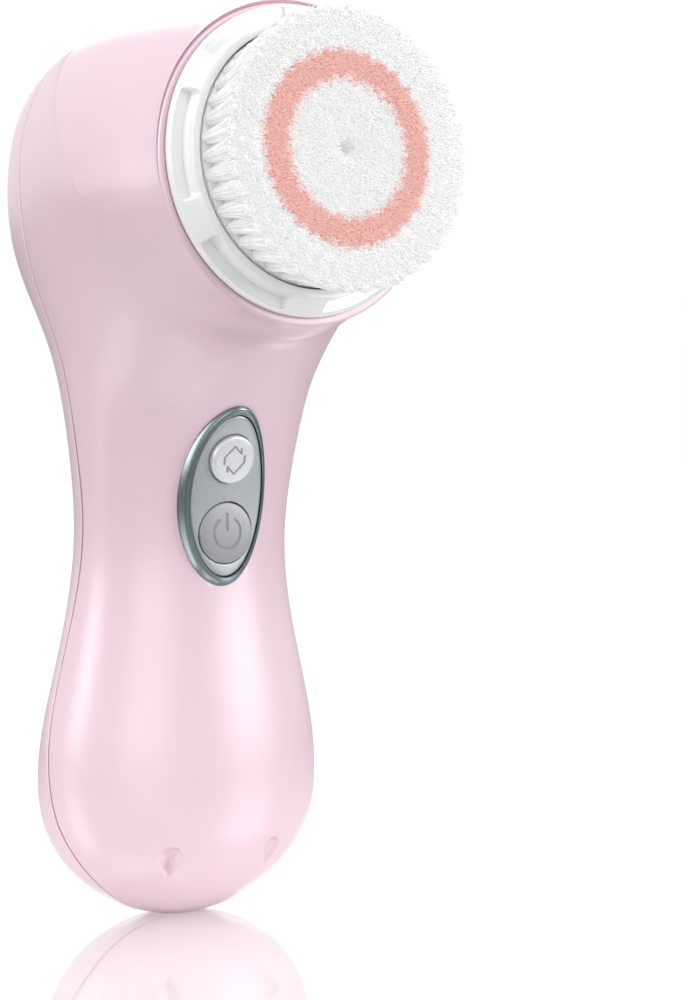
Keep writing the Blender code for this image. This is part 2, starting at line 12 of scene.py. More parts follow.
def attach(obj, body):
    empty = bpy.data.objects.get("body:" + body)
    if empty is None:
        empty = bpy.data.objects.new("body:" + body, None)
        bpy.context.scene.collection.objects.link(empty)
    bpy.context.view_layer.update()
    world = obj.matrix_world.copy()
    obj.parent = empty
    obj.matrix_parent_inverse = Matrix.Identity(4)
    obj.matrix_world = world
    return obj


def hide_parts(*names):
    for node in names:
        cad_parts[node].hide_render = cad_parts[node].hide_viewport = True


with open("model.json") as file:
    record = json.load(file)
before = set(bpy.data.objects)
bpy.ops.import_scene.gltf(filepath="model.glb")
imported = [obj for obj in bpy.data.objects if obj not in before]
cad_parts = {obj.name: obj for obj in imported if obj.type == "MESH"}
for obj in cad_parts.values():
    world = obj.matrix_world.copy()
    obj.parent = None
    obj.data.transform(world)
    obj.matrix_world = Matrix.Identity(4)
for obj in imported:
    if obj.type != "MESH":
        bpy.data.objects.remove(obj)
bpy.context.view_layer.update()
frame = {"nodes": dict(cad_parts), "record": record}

MM = 0.001

# ---- dimensions of the model, mm ---------------------------------------------
HANDLE_HALF_WIDTH = 22.9
FOOT_HEIGHT = 20.0
FLATNESS = 0.67
FLAT_RADIUS = 4.3
HEAD_TILT = 8.3
HEAD_CENTRE = (-33.45, 113.4)
RIM_CENTRE, RIM_RADIUS = (-32.62, 112.87), 23.4
MOUTH_RADIUS = 22.32
TIP_HEIGHT = 12.1
WALL = 1.3
STATIONS = (
    (15.0, 20.0, -15.6, 20.0, HANDLE_HALF_WIDTH, 2.0),
    (12.8, 38.0, -14.2, 38.0, 20.2, 2.0),
    (10.4, 57.0, -12.8, 57.0, 17.4, 2.0),
    (10.4, 72.0, -15.0, 72.0, 18.9, 2.0),
    (15.4, 89.5, -19.9, 80.3, 21.3, 2.05),
    (22.8, 106.3, -26.5, 86.3, 25.1, 2.2),
    (18.2, 126.4, -31.6, 87.5, 27.0, 2.3),
    (-3.2, 135.1, -34.7, 88.8, 27.0, 2.3),
)
SEAM = ((-12.0, -2.0), (0.0, -2.2), (8.0, -2.9), (13.0, -2.2), (22.0, -0.5), (34.0, 0.65), (60.0, -1.6),
        (82.0, -1.7), (100.0, 0.2), (114.0, 2.9), (150.0, 2.9))
SEAM_GAP = 0.11  # from the parting line to each casing

PANEL_Z = 64.0
PANEL_HALF = (7.8, 13.7)
PLATE_HALF = (6.25, 12.05)
PLATE_PROUD = 0.9
POWER_Z, POWER_RADIUS = 58.5, 4.6
MODE_Z, MODE_RADIUS, MODE_TILT = 69.6, 3.7, 12.4
MARK_DEPTH, BUTTON_GAP = 0.13, 0.14
SEAT_DEPTH = 2.6  # of the hollow under the panel
DIMPLE_TURN, DIMPLE_Z, DIMPLE_DEPTH = 27.0, 11.1, 1.15
CREASE_Z, CREASE_DROP, CREASE_DEPTH = 112.9, 3.4, 0.34  # style crease on the head's sides, and its fall to the back

SURROUND = 0.50  # brightness of the white surround as light on the object
SEEN = 1.05  # and as it is seen, directly or in a mirror
FLOOR_MIRROR, FLOOR_REACH = 0.66, 0.26  # share mirrored under the foot, and how far out it fades, m
FLOOR_SEEN, FLOOR_LIGHT = 0.97, 0.20  # brightness of the floor as it is seen, and as light on the object

tilt = math.radians(HEAD_TILT)
FACING = Vector((0.0, -math.cos(tilt), math.sin(tilt)))
RISING = Vector((0.0, math.sin(tilt), math.cos(tilt)))
HEAD = Vector((0.0, *HEAD_CENTRE))


# ---- body surface ------------------------------------------------------------
def natural_spline(knots, values, wanted):
    """Natural cubic spline through columns of values, read at the wanted places."""
    gaps = np.diff(knots)
    count = len(knots)
    system = np.eye(count)
    right = np.zeros((count, values.shape[1]))
    slopes = np.diff(values, axis=0) / gaps[:, None]
    for i in range(1, count - 1):
        system[i, i - 1:i + 2] = (gaps[i - 1], 2 * (gaps[i - 1] + gaps[i]), gaps[i])
        right[i] = 6 * (slopes[i] - slopes[i - 1])
    bend = np.linalg.solve(system, right)
    cell = np.clip(np.searchsorted(knots, wanted, side="right") - 1, 0, count - 2)
    gap = gaps[cell][:, None]
    after = (wanted - knots[cell])[:, None]
    before = gap - after
    return ((bend[cell] * before ** 3 + bend[cell + 1] * after ** 3) / (6 * gap)
            + (values[cell] / gap - bend[cell] * gap / 6) * before
            + (values[cell + 1] / gap - bend[cell + 1] * gap / 6) * after)


def body_stations():
    """The foot's quarter-ellipse stations, then the listed ones, then the head's open end."""
    rows = []
    foot_middle = (STATIONS[0][0] + STATIONS[0][2]) / 2
    start = math.degrees(math.asin(FLAT_RADIUS / HANDLE_HALF_WIDTH))
    for angle in np.linspace(start, 90.0, 7)[:-1]:
        share = math.sin(math.radians(angle))
        fall = math.cos(math.radians(angle)) / math.cos(math.radians(start))
        middle = foot_middle * share
        depth = FLATNESS * HANDLE_HALF_WIDTH * share
        height = FOOT_HEIGHT * (1 - fall)
        rows.append((middle + depth, height, middle - depth, height, HANDLE_HALF_WIDTH * share, 2.0))
    rows.extend(STATIONS)
    top = [RIM_CENTRE[0] + RIM_RADIUS * RISING.y, RIM_CENTRE[1] + RIM_RADIUS * RISING.z]
    bottom = [RIM_CENTRE[0] - RIM_RADIUS * RISING.y, RIM_CENTRE[1] - RIM_RADIUS * RISING.z]
    rows.append((*top, *bottom, RIM_RADIUS, 2.0))
    return np.array(rows)


def sections_at(places):
    """Interpolated stations at places from 0, the flat, to 1, the head's open end."""
    rows = body_stations()
    middles = (rows[:, 0:2] + rows[:, 2:4]) / 2
    ends = rows[:, 0:2]
    steps = (np.linalg.norm(np.diff(middles, axis=0), axis=1)
             + 0.5 * np.linalg.norm(np.diff(ends, axis=0), axis=1) + 0.5 * np.abs(np.diff(rows[:, 4])))
    knots = np.concatenate(([0.0], np.cumsum(steps)))
    return natural_spline(knots, rows, np.asarray(places) * knots[-1])


def section_points(section, angles):
    """Points of a section as an array; angle 0 is the back, a quarter turn is +X, a half turn is the front."""
    back_y, back_z, front_y_, front_z, half, square = section
    power = 2.0 / (2.0 + (square - 2.0) * np.cos(angles))
    across = np.sign(np.sin(angles)) * np.abs(np.sin(angles)) ** power
    along = np.sign(np.cos(angles)) * np.abs(np.cos(angles)) ** power
    return np.stack((half * across,
                     (back_y + front_y_) / 2 + (back_y - front_y_) / 2 * along,
                     (back_z + front_z) / 2 + (back_z - front_z) / 2 * along), axis=-1)


seam_heights = np.linspace(-12.0, 150.0, 400)
seam_depths = natural_spline(np.array([z for z, _ in SEAM]), np.array([[y] for _, y in SEAM]), seam_heights)[:, 0]


def seam_y(z):
    """Depth of the parting line at a height."""
    return np.interp(z, seam_heights, seam_depths)


def last_place(low, high, steps, holds):
    """The end of the stretch from low where a condition holds, by halving."""
    for _ in range(steps):
        middle = (low + high) / 2
        low, high = (middle, high) if holds(middle) else (low, middle)
    return low


def seam_angle(section, shift):
    """Where a section crosses the parting line, or 0 where it lies wholly in front of it."""
    def behind(angle):
        point = section_points(section, np.array([angle]))[0]
        return point[1] > seam_y(point[2]) + shift

    return last_place(0.0, math.pi, 26, behind) if behind(0.0) else 0.0


def crossing_place(shift):
    """Place along the body where the parting line passes over the top of the head."""
    return last_place(0.6, 1.0, 30, lambda place: seam_angle(sections_at([place])[0], shift) > 0.0)


front_rows = sections_at(np.linspace(0.0, 1.0, 600))
profile_rows = front_rows[front_rows[:, 3] < 86.0]


def front_y(z):
    """The middle line of the handle's front."""
    return np.interp(z, profile_rows[:, 3], profile_rows[:, 2])


def smooth(low, high, value):
    """0 below low, 1 above high, and an S-curve between."""
    share = np.clip((value - low) / (high - low), 0.0, 1.0)
    return share * share * (3.0 - 2.0 * share)


def grid_normals(points):
    """Unit normals of a grid of points, facing out."""
    along = np.gradient(points, axis=0)
    around = np.gradient(points, axis=1)
    normals = np.cross(along, around)
    length = np.linalg.norm(normals, axis=2, keepdims=True)
    return normals / np.maximum(length, 1e-9)


# ---- materials ---------------------------------------------------------------
def add_node(tree, kind, inputs, **settings):
    """A shader node; each input is given a value, or an output to link from."""
    made = tree.nodes.new(f"ShaderNode{kind}")
    for name, value in settings.items():
        setattr(made, name, value)
    for socket, value in inputs.items():
        if isinstance(value, bpy.types.NodeSocket):
            tree.links.new(value, made.inputs[socket])
        else:
            made.inputs[socket].default_value = value
    return made


class Shader:
    """A Principled material and the nodes that feed it."""

    def __init__(self, name, colour, roughness, metallic=0.0):
        self.material = bpy.data.materials.new(name)
        self.material.use_nodes = True
        self.material.diffuse_color = (*colour, 1.0)
        self.tree = self.material.node_tree
        self.principled = self.tree.nodes["Principled BSDF"]
        self.place = add_node(self.tree, "TexCoord", {}).outputs["Object"]
        self.set("Base Color", (*colour, 1.0))
        self.set("Roughness", roughness)
        self.set("Metallic", metallic)

    def set(self, socket, value):
        self.principled.inputs[socket].default_value = value

    def feed(self, socket, output):
        self.tree.links.new(output, self.principled.inputs[socket])

    def noise(self, scale, detail, stretch=(1.0, 1.0, 1.0)):
        """Noise per metre, stretched along the axes; returns its value from 0 to 1."""
        place = add_node(self.tree, "Mapping", {"Scale": stretch, "Vector": self.place}).outputs["Vector"]
        return add_node(self.tree, "TexNoise", {"Scale": scale, "Detail": detail, "Vector": place}).outputs["Fac"]

    def cells(self, scale, feature):
        """Distance inside cells, so many per metre."""
        return add_node(self.tree, "TexVoronoi", {"Scale": scale, "Vector": self.place},
                        feature=feature).outputs["Distance"]

    def bands(self, scale, direction, distortion):
        """Regular bands across a direction."""
        return add_node(self.tree, "TexWave", {"Scale": scale, "Distortion": distortion, "Vector": self.place},
                        bands_direction=direction).outputs["Fac"]

    def span(self, output, low, high):
        """Map a value's useful stretch to low .. high."""
        return add_node(self.tree, "MapRange", {"From Min": 0.3, "From Max": 0.7, "To Min": low, "To Max": high,
                                                "Value": output}).outputs["Result"]

    def ramp(self, output, *stops):
        """Colours by value: two (position, (r, g, b)) pairs."""
        made = add_node(self.tree, "ValToRGB", {"Fac": output})
        for element, (position, colour) in zip(made.color_ramp.elements, stops):
            element.position = position
            element.color = (*colour, 1.0)
        return made.outputs["Color"]

    def bump(self, output, strength, distance):
        """Fine relief, over any relief that is there already."""
        inputs = {"Strength": strength, "Distance": distance, "Height": output}
        previous = self.principled.inputs["Normal"].links
        if previous:
            inputs["Normal"] = previous[0].from_socket
        self.feed("Normal", add_node(self.tree, "Bump", inputs).outputs["Normal"])

    def coat(self, weight, roughness):
        self.set("Coat Weight", weight)
        self.set("Coat Roughness", roughness)


def tinted(colour, change):
    """A colour made lighter or darker by a factor."""
    return tuple(min(1.0, channel * change) for channel in colour)


def pearl_plastic(name, colour):
    """Pearly moulded plastic: fine flakes under a clear, faintly uneven lacquer."""
    made = Shader(name, colour, 0.40)
    made.set("IOR", 1.8)
    flakes = made.noise(5200.0, 2.0)
    clouds = made.noise(38.0, 2.0)
    made.feed("Base Color", made.ramp(clouds, (0.3, tinted(colour, 0.985)), (0.7, tinted(colour, 1.015))))
    made.feed("Roughness", made.span(flakes, 0.29, 0.37))
    made.bump(flakes, 0.05, 0.00002)
    made.bump(made.noise(900.0, 2.0), 0.03, 0.00004)
    made.coat(0.30, 0.30)
    return made.material


def satin_metal(name, colour, roughness=0.32, metallic=0.85):
    """Sprayed satin metal with a fine grain."""
    made = Shader(name, colour, roughness, metallic)
    grain = made.noise(3200.0, 3.0)
    made.feed("Base Color", made.ramp(grain, (0.35, tinted(colour, 0.95)), (0.65, tinted(colour, 1.04))))
    made.feed("Roughness", made.span(grain, roughness - 0.03, roughness + 0.05))
    made.bump(grain, 0.05, 0.00002)
    made.coat(0.15, 0.25)
    return made.material


def moulded(name, colour, roughness=0.45, grain_size=2600.0, bump=0.10):
    """Moulded plastic with a fine spark-eroded grain and slow colour change."""
    made = Shader(name, colour, roughness)
    grain = made.noise(grain_size, 3.0)
    clouds = made.noise(90.0, 2.0)
    made.feed("Base Color", made.ramp(clouds, (0.3, tinted(colour, 0.94)), (0.7, tinted(colour, 1.05))))
    made.feed("Roughness", made.span(grain, roughness - 0.07, roughness + 0.07))
    made.bump(grain, bump, 0.00004)
    return made.material


def clear_plastic(name, colour, milk):
    """Clear moulded plastic with a little milkiness and faint flow marks."""
    made = Shader(name, colour, 0.10)
    flow = made.noise(160.0, 2.0, (1.0, 1.0, 0.35))
    made.set("Transmission Weight", 1.0 - milk)
    made.set("IOR", 1.42)
    made.feed("Roughness", made.span(flow, 0.07, 0.17))
    made.bump(flow, 0.05, 0.0001)
    made.coat(0.3, 0.05)
    return made.material


def filament(name, root, tip):
    """Nylon filaments: a little light passes through, a painted glow lightens their shaded parts, and the colour
    changes from tuft to tuft.
    """
    made = Shader(name, tip, 0.55)
    fibres = made.noise(1500.0, 2.0)
    made.feed("Base Color", made.ramp(fibres, (0.30, root), (0.62, tip)))
    made.feed("Roughness", made.span(fibres, 0.48, 0.64))
    made.set("Specular IOR Level", 0.25)
    made.set("Subsurface Weight", 0.35)
    made.set("Subsurface Radius", (1.0, 0.95, 0.9))
    made.set("Subsurface Scale", 0.0016)
    # painted glow: a weak emission in the tip colour brightens the shaded bristles
    made.set("Emission Color", (*tip, 1.0))
    made.set("Emission Strength", 0.16)
    made.bump(fibres, 0.04, 0.00002)
    return made.material


def turned_steel(name, colour, roughness=0.24):
    """Steel with fine turning or rolling marks."""
    made = Shader(name, colour, roughness, 1.0)
    marks = made.noise(420.0, 4.0, (1.0, 9.0, 1.0))
    made.feed("Roughness", made.span(marks, roughness - 0.06, roughness + 0.12))
    made.feed("Base Color", made.ramp(marks, (0.3, tinted(colour, 0.86)), (0.7, tinted(colour, 1.08))))
    made.bump(marks, 0.08, 0.00003)
    return made.material


def layered(name, dark, light, scale, direction, roughness, metallic):
    """Stacked sheets or windings: fine regular lines in one direction."""
    made = Shader(name, light, roughness, metallic)
    lines = made.bands(scale, direction, 0.4)
    made.feed("Base Color", made.ramp(lines, (0.15, dark), (0.55, light)))
    made.feed("Roughness", made.span(lines, roughness + 0.12, roughness))
    made.bump(lines, 0.5, 0.00008)
    return made.material


def circuit_board(name):
    """Green solder mask with copper runs showing through as lighter lines."""
    made = Shader(name, (0.04, 0.20, 0.11), 0.35)
    cells = made.cells(900.0, "DISTANCE_TO_EDGE")
    made.feed("Base Color", made.ramp(cells, (0.04, (0.09, 0.33, 0.17)), (0.09, (0.03, 0.16, 0.09))))
    made.bump(cells, 0.15, 0.00003)
    made.coat(0.5, 0.12)
    return made.material


PEARL = pearl_plastic("pearl_pink_shell", (0.775, 0.572, 0.650))
# darker copy of the pink pearl for the tongue seen in the parting gap: painted shade
PEARL_SEAM_SHADE = pearl_plastic("pearl_pink_joint_painted_shade", (0.56, 0.33, 0.41))
SILVER = satin_metal("satin_silver", (0.42, 0.44, 0.46), 0.40, 0.60)
# the buttons share the plate's satin silver: the mode cap's lighter copy is painted highlight, the power cap's darker
# copy is painted shade
MODE_SILVER_PAINTED_HIGHLIGHT = satin_metal("satin_silver_mode_painted_highlight", (0.68, 0.695, 0.71), 0.40, 0.45)
POWER_SILVER_PAINTED_SHADE = satin_metal("satin_silver_power_painted_shade", (0.31, 0.32, 0.335), 0.44, 0.50)
BEZEL = satin_metal("grey_bezel", (0.20, 0.245, 0.26), 0.22, 0.85)
# dark grey for the faces inside the button grooves: painted shade in the engraving
GROOVE_SHADE = moulded("engraved_mark_painted_shade", (0.30, 0.31, 0.32), 0.4)
CLEAR = clear_plastic("clear_ring_plastic", (0.975, 0.98, 0.985), 0.90)
CARRIER = clear_plastic("tuft_carrier_plastic", (0.95, 0.95, 0.955), 0.92)
WHITE_PLASTIC = moulded("white_moulding", (0.82, 0.82, 0.83), 0.38)
WHITE_FILAMENT = filament("white_nylon_painted_glow", (0.93, 0.93, 0.935), (0.96, 0.96, 0.965))
PINK_FILAMENT = filament("pink_nylon_painted_glow", (0.90, 0.47, 0.42), (0.94, 0.60, 0.545))
CAD_FINISH = {
    "grey_rubber": moulded("soft_rubber", (0.27, 0.28, 0.29), 0.75, 1400.0, 0.25),
    "white_plastic": WHITE_PLASTIC,
    "black_plastic": moulded("black_moulding", (0.030, 0.030, 0.034), 0.45),
    "steel": turned_steel("turned_steel", (0.56, 0.56, 0.57)),
    "aluminium": turned_steel("rolled_aluminium", (0.74, 0.75, 0.76), 0.32),
    "magnet": turned_steel("nickel_plate", (0.62, 0.60, 0.56), 0.16),
    "laminations": layered("laminated_core", (0.10, 0.10, 0.11), (0.34, 0.35, 0.37), 520.0, "Y", 0.40, 0.9),
    "copper": layered("enamelled_winding", (0.30, 0.11, 0.05), (0.80, 0.38, 0.18), 620.0, "DIAGONAL", 0.26, 1.0),
    "ferrite": moulded("ferrite", (0.07, 0.07, 0.08), 0.7, 1900.0, 0.3),
    "circuit_board": circuit_board("solder_mask"),
    "battery_wrap": moulded("shrink_sleeve", (0.09, 0.33, 0.19), 0.30, 500.0, 0.12),
    "red_wire": moulded("red_insulation", (0.52, 0.05, 0.04), 0.42),
    "black_wire": moulded("black_insulation", (0.030, 0.030, 0.030), 0.42),
}


# ---- making pieces -----------------------------------------------------------
def piece(name, points, faces, finish, body, replaces=(), slot=None, smooth_angle=40.0, outward_from=None):
    """A mesh object in metres from points in millimetres, riding on a body."""
    mesh = bpy.data.meshes.new(name)
    mesh.from_pydata((np.asarray(points) * MM).tolist(), [], faces)
    bm = bmesh.new()
    bm.from_mesh(mesh)
    bmesh.ops.remove_doubles(bm, verts=bm.verts, dist=0.000002)
    bmesh.ops.dissolve_degenerate(bm, dist=0.0000005, edges=bm.edges)
    bmesh.ops.recalc_face_normals(bm, faces=bm.faces)
    if outward_from:
        lean = sum((face.calc_center_median() - Vector(outward_from) * MM).dot(face.normal) for face in bm.faces)
        if lean < 0:
            bmesh.ops.reverse_faces(bm, faces=bm.faces)
    bm.to_mesh(mesh)
    bm.free()
    mesh.shade_smooth()
    mesh.set_sharp_from_angle(angle=math.radians(smooth_angle))
    made = bpy.data.objects.new(name, mesh)
    bpy.context.scene.collection.objects.link(made)
    mesh.materials.append(finish)
    settle(made, body, replaces)
    return made


def settle(made, body, replaces=()):
    """Say what a piece rides on and stands for."""
    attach(made, body)
    if replaces:
        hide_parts(*replaces)


def grid_faces(rows, columns, wrap_columns=False, wrap_rows=False):
    """Quads of a grid whose points are numbered row by row."""
    faces = []
    for i in range(rows if wrap_rows else rows - 1):
        for j in range(columns if wrap_columns else columns - 1):
            a = i * columns + j
            b = i * columns + (j + 1) % columns
            c = ((i + 1) % rows) * columns + (j + 1) % columns
            d = ((i + 1) % rows) * columns + j
            faces.append((a, b, c, d))
    return faces


def polyline(points, spacing, least=1):
    """More points along an outline, so that none is further from the next than the spacing."""
    fine = []
    for start, end in zip(points, points[1:]):
        steps = max(least, int(math.dist(start, end) / spacing))
        fine.extend((start[0] + (end[0] - start[0]) * k / steps, start[1] + (end[1] - start[1]) * k / steps)
                    for k in range(steps))
    fine.append(points[-1])
    return fine


def full_turn(count):
    """Evenly spaced angles of one turn."""
    return np.linspace(0.0, 2 * math.pi, count, endpoint=False)


def end_caps(rows, columns):
    """Faces that close the first and last rows of a grid."""
    return [tuple(range(columns)), tuple((rows - 1) * columns + step for step in range(columns))]


def walled(shell):
    """Give a casing its wall, inwards."""
    wall = shell.modifiers.new("wall", "SOLIDIFY")
    wall.thickness = WALL * MM
    wall.offset = -1.0


def head_points(x, up, out):
    """Places given in the brush's own axes, as world millimetres."""
    base = np.array(HEAD)
    return (base + np.multiply.outer(x, np.array((1.0, 0.0, 0.0))) + np.multiply.outer(up, np.array(RISING))
            + np.multiply.outer(out, np.array(FACING)))


# ---- casings -----------------------------------------------------------------
def dimple_frames():
    """Middle, sideways and upward directions of the two charging dimples."""
    frames = []
    heights = front_rows[:60, 1]
    place = float(np.interp(DIMPLE_Z, heights, np.linspace(0.0, 59.0 / 599.0, 60)))
    for side in (-1, 1):
        angle = math.pi - side * math.radians(DIMPLE_TURN)
        rows = sections_at([place - 0.002, place, place + 0.002])
        low, middle, high = (section_points(row, np.array([angle]))[0] for row in rows)
        beside = section_points(rows[1], np.array([angle + 0.01]))[0]
        upward = (high - low) / np.linalg.norm(high - low)
        across = (beside - middle) / np.linalg.norm(beside - middle)
        frames.append((middle, across, upward))
    return frames


def dimple_depth(points):
    """How far the surface sinks at a dimple: a drop with a crease, round above and pointed below."""
    depth = np.zeros(points.shape[:2])
    for middle, across, upward in dimple_frames():
        offset = points - middle
        s = offset @ across
        h = offset @ upward
        top = 1.85 * np.sqrt(np.clip(1.0 - ((h - 1.0) / 1.9) ** 2, 0.0, 1.0))
        tail = 1.85 * np.clip((h + 3.0) / 4.0, 0.0, 1.0) ** 0.85
        width = np.where(h > 1.0, top, tail)
        inside = np.clip(1.0 - np.abs(s) / np.maximum(width, 0.02), 0.0, 1.0)
        slope = 0.72 * inside + 0.28 * smooth(0.0, 0.35, inside)
        fade = smooth(-3.0, -0.6, h) * (1.0 - smooth(1.9, 2.9, h))
        near = np.linalg.norm(offset, axis=2) < 6.0
        depth += np.where(near, DIMPLE_DEPTH * slope * fade, 0.0)
    return depth


def shaped(points):
    """Sink the dimples, the seat under the panel and the style crease on the sides of the head."""
    normals = grid_normals(points)
    x, y, z = points[..., 0], points[..., 1], points[..., 2]
    sink = dimple_depth(points)
    oval = np.sqrt((x / PANEL_HALF[0]) ** 2 + ((z - PANEL_Z) / PANEL_HALF[1]) ** 2)
    in_front = y < -8.0
    sink += np.where(in_front, SEAT_DEPTH * (1.0 - smooth(0.84, 0.93, oval)), 0.0)
    line_z = CREASE_Z - CREASE_DROP * np.clip((y + 31.0) / 17.0, 0.0, 1.0) ** 1.8
    above = z - line_z
    along = smooth(-33.0, -27.0, y) * (1.0 - smooth(-18.0, -10.0, y))
    side = smooth(14.0, 20.0, np.abs(x))
    fold = np.exp(-np.clip(above, 0.0, None) / 5.0) * smooth(-1.3, 1.1, above)
    sink += CREASE_DEPTH * fold * along * side
    return points - normals * sink[..., None]


def rim_rows(last):
    """Rows that carry the casing over its narrow lip and down the seat of the cup."""
    base, facing = np.array(HEAD), np.array(FACING)
    level = ((last - base) @ facing)[:, None]
    spoke = last - base - facing * level
    radius = np.linalg.norm(spoke, axis=1, keepdims=True)
    spoke = spoke / radius
    width = radius - MOUTH_RADIUS
    # share of the lip's width from outside to inside, height over its outer edge
    profile = ((0.06, 0.06), (0.16, 0.11), (0.35, 0.15), (0.65, 0.15), (0.88, 0.12), (0.97, 0.05), (1.0, -0.05),
               (1.0, -0.4), (1.0, -1.5), (1.0, -3.0))
    return [base + spoke * (radius - width * share) + facing * (level + rise) for share, rise in profile]


def spread(base, extra, least=0.00008):
    """Two lists of places as one sorted list, without places that nearly coincide."""
    places = np.sort(np.concatenate((base, extra)))
    kept = [places[0]]
    for place in places[1:-1]:
        if place - kept[-1] > least and places[-1] - place > least:
            kept.append(place)
    return np.array(kept + [places[-1]])


def foot_rows(section, angles, shift):
    """Rows that close the flat under the foot, from the middle of its parting line outwards."""
    edge = section_points(section, angles)
    middle = np.array((0.0, seam_y(0.0) + shift, 0.0))
    return [middle + (edge - middle) * share for share in (0.02, 0.35, 0.7)]


def rounded_edge(points, drop, columns):
    """Bend the first and last columns of a patch inwards, so that its edge is rounded."""
    normals = grid_normals(points)
    for column, share in enumerate(columns):
        points[:, column] -= normals[:, column] * drop * share
        points[:, -1 - column] -= normals[:, -1 - column] * drop * share
    return points


def closing(crossing, count):
    """Places that crowd towards the crossing over the head."""
    return crossing - 0.02 * (1.0 - np.linspace(0.0, 1.0, count)) ** 2


def casing_grid(places, shift, angles_of):
    """Rows of points along the body, with the flat under the foot closed; angles_of(seam angle) spaces a row."""
    grid = []
    for row, section in enumerate(sections_at(places)):
        angles = angles_of(seam_angle(section, shift))
        if row == 0:
            grid.extend(foot_rows(section, angles, shift))
        grid.append(section_points(section, angles))
    return np.array(grid)


def front_shell():
    """The front casing: handle front, panel seat, dimples, the whole head's cone and its lip."""
    crossing = crossing_place(-SEAM_GAP)
    base = np.concatenate((np.linspace(0.0, 0.5, 80), np.linspace(0.5, crossing - 0.02, 105)[1:]))
    over = crossing + 0.02 * np.linspace(0.0, 1.0, 10) ** 2
    rest = np.linspace(crossing + 0.02, 1.0, 34)
    heights = front_rows[:80, 1]
    ends = np.interp([7.2, 15.6], heights, np.linspace(0.0, 79.0 / 599.0, 80))
    places = spread(np.concatenate((base, closing(crossing, 14), over, rest)), np.linspace(ends[0], ends[1], 46))
    shares = np.linspace(-1.0, 1.0, 84)
    fine = np.concatenate([side * np.linspace(0.21, 0.42, 28) for side in (-1, 1)])
    edge = np.array([-0.996, -0.99, 0.99, 0.996])
    shares = spread(np.concatenate((shares, edge)), fine, 0.002)
    grid = casing_grid(places, -SEAM_GAP, lambda seam: math.pi + shares * (math.pi - seam))
    split = int(np.searchsorted(places, crossing)) + 3
    grid[4:] = shaped(grid)[4:]
    grid[4:split] = rounded_edge(grid[4:split], 0.16, (1.0, 0.35))
    rows = np.concatenate((grid, rim_rows(grid[-1])))
    walled(piece("front_shell", rows.reshape(-1, 3), grid_faces(len(rows), len(shares)), PEARL, "handle",
                 ("front_casing",), "pearl_pink", outward_from=(0.0, 0.0, 70.0)))


def rear_shell():
    """The rear casing: the handle's back and the dome behind the head."""
    crossing = crossing_place(SEAM_GAP)
    places = spread(np.linspace(0.0, crossing - 0.02, 150), closing(crossing, 16))
    shares = spread(np.linspace(-1.0, 1.0, 96), np.array([-0.996, -0.99, 0.99, 0.996]), 0.002)
    grid = casing_grid(places, SEAM_GAP, lambda seam: shares * max(seam, 0.0005))
    grid[4:-2] = rounded_edge(grid[4:-2], 0.16, (1.0, 0.35))
    walled(piece("rear_shell", grid.reshape(-1, 3), grid_faces(len(grid), len(shares)), PEARL, "handle",
                 ("rear_casing",), "pearl_pink", outward_from=(0.0, -5.0, 70.0)))


front_shell()
rear_shell()


def joint_strip():
    """The tongue behind the parting line: it runs up one side, over the head and down the other."""
    crossing = crossing_place(0.0)
    climb = np.concatenate((np.linspace(0.01, crossing - 0.02, 150), closing(crossing, 16)[1:]))
    left = []
    for place, section in zip(climb, sections_at(climb)):
        angle = seam_angle(section, 0.0)
        near = sections_at([max(place - 0.002, 0.0), min(place + 0.002, 1.0)])
        here = section_points(section, np.array([-angle]))[0]
        along = section_points(near[1], np.array([-angle]))[0] - section_points(near[0], np.array([-angle]))[0]
        beside = section_points(section, np.array([-angle - 0.01, -angle + 0.01]))
        out = np.cross(beside[1] - beside[0], along)
        left.append((here, -out / max(np.linalg.norm(out), 1e-9)))
    mirror = np.array((-1.0, 1.0, 1.0))
    line = left + [(point * mirror, out * mirror) for point, out in reversed(left[:-1])]
    points = np.array([point for point, _ in line])
    out = np.array([direction for _, direction in line])
    outward = np.sum((points - np.array((0.0, -4.0, 0.0))) * out * np.array((1.0, 1.0, 0.0)), axis=1)
    out *= np.sign(outward)[:, None]
    along = np.gradient(points, axis=0)
    across = np.cross(out, along)
    across /= np.linalg.norm(across, axis=1, keepdims=True)
    rows = np.stack([points - out * depth + across * side
                     for side, depth in ((-0.7, 0.7), (-0.5, 0.36), (0.0, 0.30), (0.5, 0.36), (0.7, 0.7))], axis=1)
    # the tongue takes the darker pink, which is painted shade in the parting gap
    piece("joint_strip", rows.reshape(-1, 3), grid_faces(len(rows), 5), PEARL_SEAM_SHADE, "handle", (), "pearl_pink")


joint_strip()


# ---- control panel -----------------------------------------------------------
def surface_finder():
    """Depth of the casing's unsunk front at x, z: rays against the smooth body."""
    angles = np.linspace(math.pi * 0.6, math.pi * 1.4, 81)
    rows = [section_points(section, angles) for section in sections_at(np.linspace(0.12, 0.75, 120))]
    points = np.concatenate(rows)
    tree = BVHTree.FromPolygons(points.tolist(), grid_faces(120, 81))
    return lambda x, z: tree.ray_cast(Vector((x, -60.0, z)), Vector((0.0, 1.0, 0.0)))[0].y


surface_at = surface_finder()


def plate_y(x, z):
    """Depth of the panel plate's face."""
    return front_y(z) + 0.010 * x * x - PLATE_PROUD


